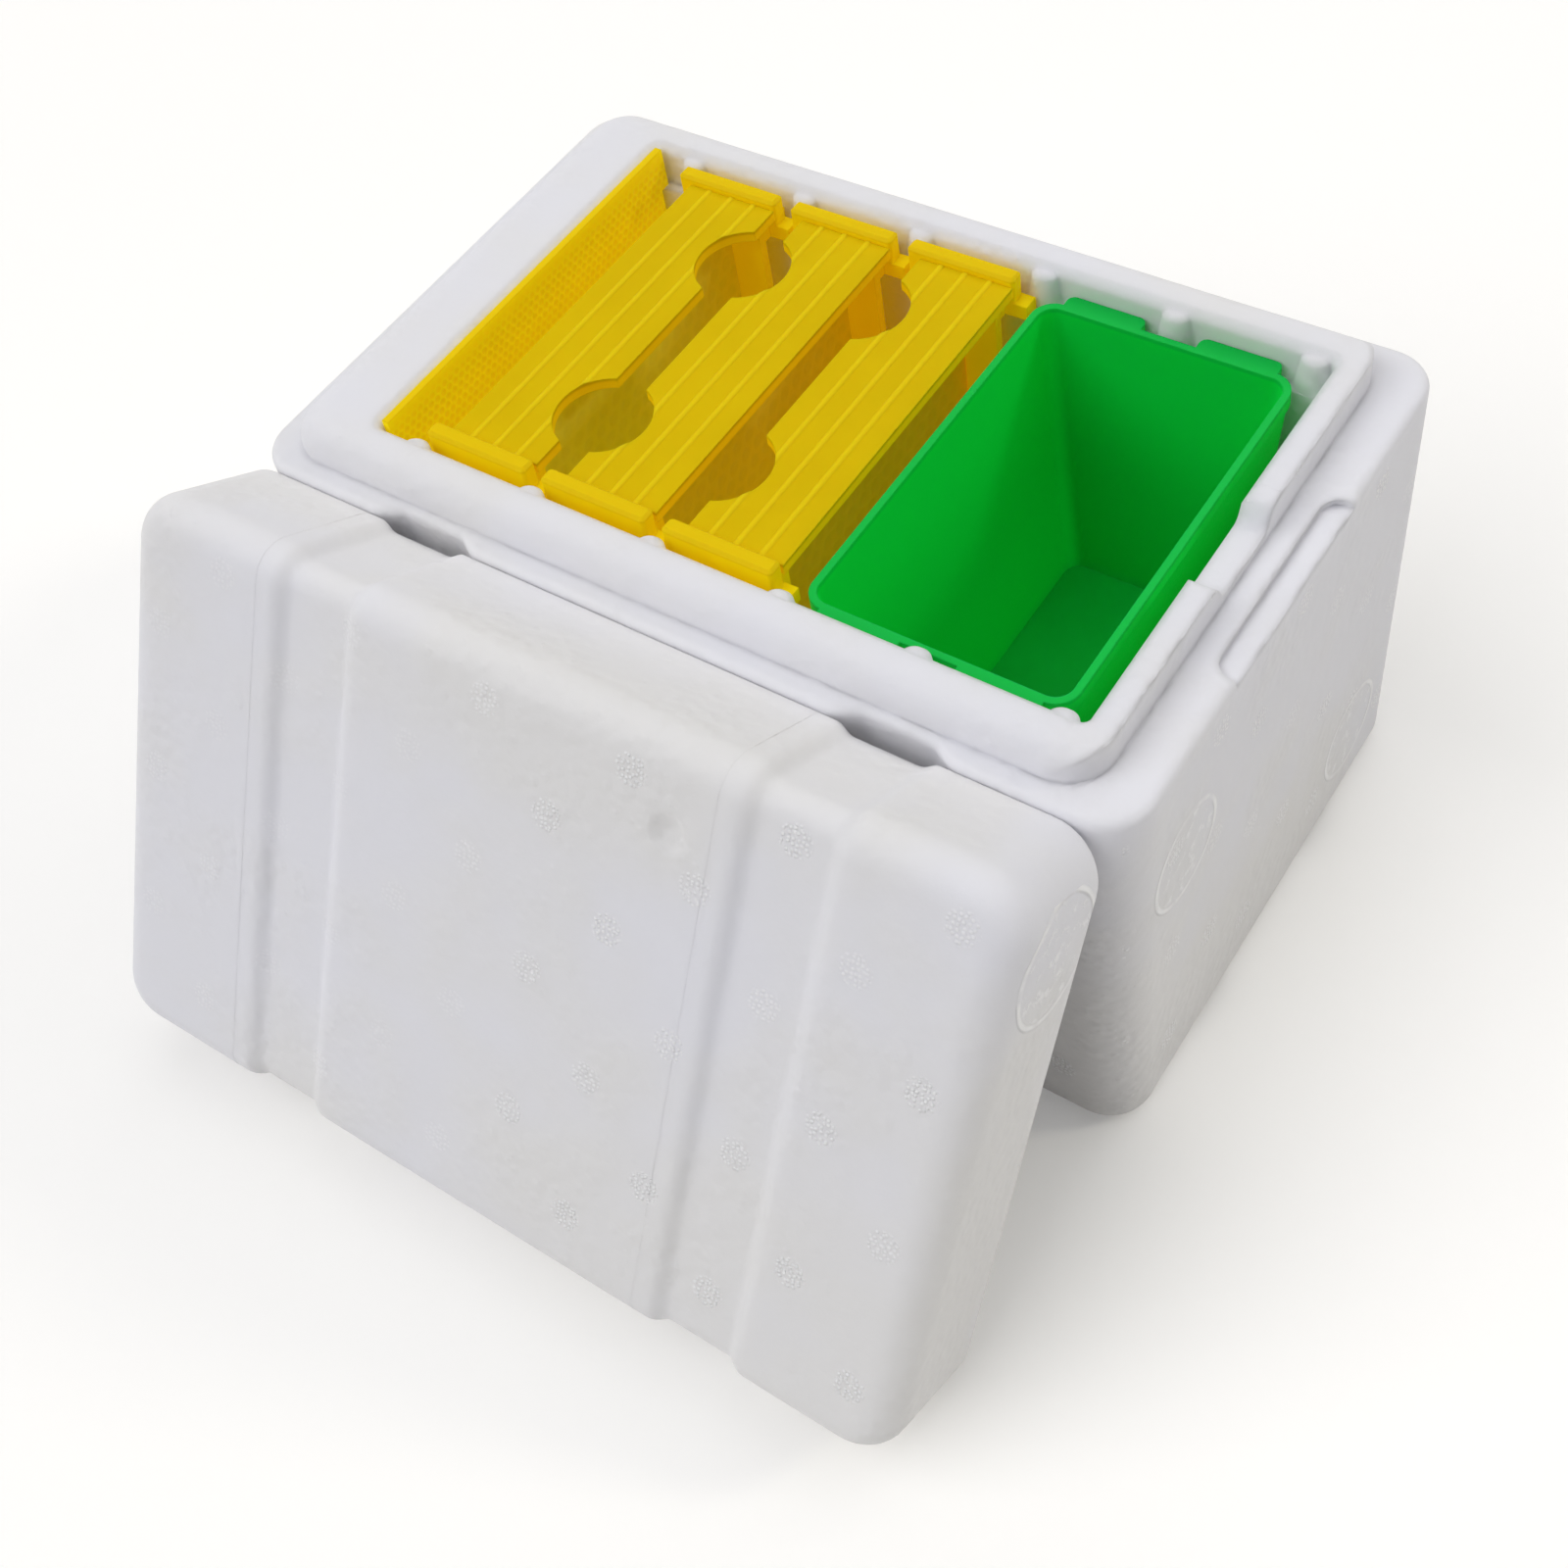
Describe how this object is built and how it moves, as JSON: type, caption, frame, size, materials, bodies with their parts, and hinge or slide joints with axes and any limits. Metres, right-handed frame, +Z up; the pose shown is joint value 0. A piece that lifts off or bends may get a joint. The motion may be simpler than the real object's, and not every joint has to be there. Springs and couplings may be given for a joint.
{
  "type": "bee pollination box",
  "caption": "Foam nucleus hive with hanging frames, a syrup feeder, an embossed comb sheet and a lift-off lid leant on its front.",
  "frame": {"origin": "under the middle of the box's floor, on the face it stands on", "axes": "+Z up, +X along the box from the comb sheet to the feeder, -Y the front where the lid leans"},
  "size_m": [0.2488, 0.2584, 0.1449],
  "materials": {
    "foam": "matte",
    "yellow_plastic": "satin",
    "green_plastic": "satin",
    "wax": "satin"
  },
  "bodies": {
    "box": {"hive_body": "foam"},
    "lid_body": {"lid": "foam"},
    "feeder_body": {"feeder": "green_plastic"},
    "comb_sheet_body": {"comb_sheet": "yellow_plastic"},
    "frame_1_body": {"frame_1_top_bar": "yellow_plastic", "frame_1_front_end_bar": "yellow_plastic", "frame_1_back_end_bar": "yellow_plastic", "frame_1_bottom_bar": "yellow_plastic", "frame_1_foundation": "wax"},
    "frame_2_body": {"frame_2_top_bar": "yellow_plastic", "frame_2_front_end_bar": "yellow_plastic", "frame_2_back_end_bar": "yellow_plastic", "frame_2_bottom_bar": "yellow_plastic", "frame_2_foundation": "wax"},
    "frame_3_body": {"frame_3_top_bar": "yellow_plastic", "frame_3_front_end_bar": "yellow_plastic", "frame_3_back_end_bar": "yellow_plastic", "frame_3_bottom_bar": "yellow_plastic", "frame_3_foundation": "wax"}
  },
  "joints": [
    {"name": "lid_lift", "type": "slide", "parent": "box", "child": "lid_body", "axis": [0, 0, 1], "range_m": [0, 0.16]},
    {"name": "feeder_lift", "type": "slide", "parent": "box", "child": "feeder_body", "axis": [0, 0, 1], "range_m": [0, 0.1]},
    {"name": "comb_sheet_lift", "type": "slide", "parent": "box", "child": "comb_sheet_body", "axis": [0, 0, 1], "range_m": [0, 0.115]},
    {"name": "frame_1_lift", "type": "slide", "parent": "box", "child": "frame_1_body", "axis": [0, 0, 1], "range_m": [0, 0.115]},
    {"name": "frame_2_lift", "type": "slide", "parent": "box", "child": "frame_2_body", "axis": [0, 0, 1], "range_m": [0, 0.115]},
    {"name": "frame_3_lift", "type": "slide", "parent": "box", "child": "frame_3_body", "axis": [0, 0, 1], "range_m": [0, 0.115]}
  ]
}
